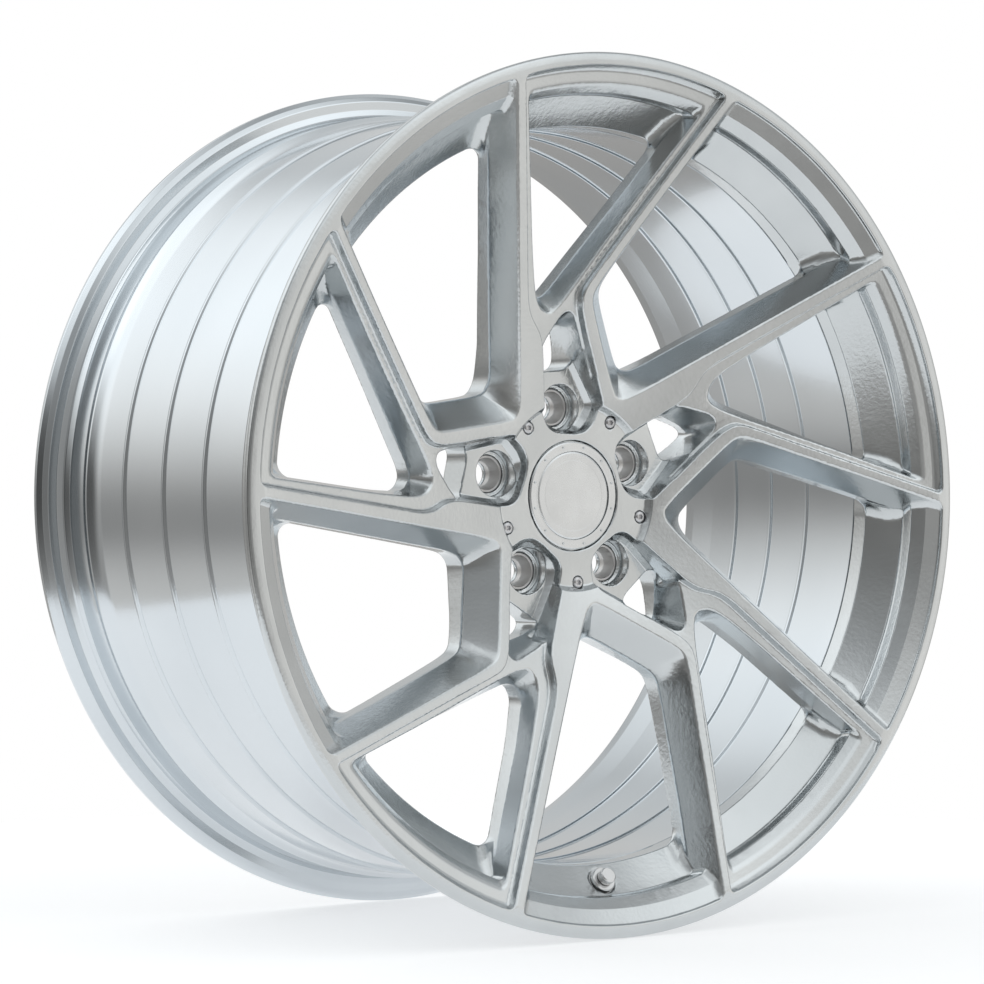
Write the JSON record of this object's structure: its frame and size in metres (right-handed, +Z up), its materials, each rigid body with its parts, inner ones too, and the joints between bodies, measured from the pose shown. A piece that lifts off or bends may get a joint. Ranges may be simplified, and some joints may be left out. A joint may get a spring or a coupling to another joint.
{
  "type": "forged racing wheel rim",
  "caption": "Concave forged wheel rim with paired angular spokes, deep spun barrel, recessed lug pads with conical seats, snap-in centre cap and tyre valve.",
  "frame": {"origin": "centre of the rim: on the spin axis, halfway between the two flange crests", "axes": "+Y along the spin axis, from the street face to the brake side; +Z up; the street face looks toward -Y"},
  "size_m": [0.5466, 0.2618, 0.5476],
  "materials": {
    "forged_aluminium": "satin silver, clear coated, soft grain on the street face",
    "spun_aluminium": "bright smooth silver, clear coated",
    "cap_aluminium": "satin silver",
    "spring_steel": "drawn spring wire",
    "seat_steel": "machined matt steel",
    "screw_steel": "turned stainless steel",
    "valve_metal": "turned aluminium",
    "valve_cap_metal": "satin aluminium",
    "valve_rubber": "matt black",
    "valve_brass": "turned brass"
  },
  "bodies": {
    "wheel": {"forged_centre": "forged_aluminium", "rim_barrel": "spun_aluminium", "valve_stem": "valve_metal", "valve_seal": "valve_rubber", "valve_washer": "valve_metal", "valve_nut": "valve_metal", "valve_core": "valve_brass", "lug_seat_1": "seat_steel", "hub_screw_1": "screw_steel", "lug_seat_2": "seat_steel", "hub_screw_2": "screw_steel", "lug_seat_3": "seat_steel", "hub_screw_3": "screw_steel", "lug_seat_4": "seat_steel", "hub_screw_4": "screw_steel", "lug_seat_5": "seat_steel", "hub_screw_5": "screw_steel"},
    "centre_cap": {"cap_body": "cap_aluminium", "cap_face": "cap_aluminium", "cap_spring_ring": "spring_steel"},
    "valve_cap": {"valve_cap": "valve_cap_metal"},
    "valve_pin": {"valve_core_pin": "valve_brass"}
  },
  "joints": [
    {"name": "cap_pull", "type": "slide", "parent": "wheel", "child": "centre_cap", "axis": [0, -1, 0], "range_m": [0, 0.04]},
    {"name": "valve_cap_off", "type": "slide", "parent": "wheel", "child": "valve_cap", "axis": [-0.0065, -0.848, 0.5299], "range_m": [0, 0.02]},
    {"name": "valve_core_press", "type": "slide", "parent": "wheel", "child": "valve_pin", "axis": [0.0065, 0.848, -0.5299], "range_m": [0, 0.0015], "stiffness_N_per_m": 600, "springref_m": -0.001}
  ]
}
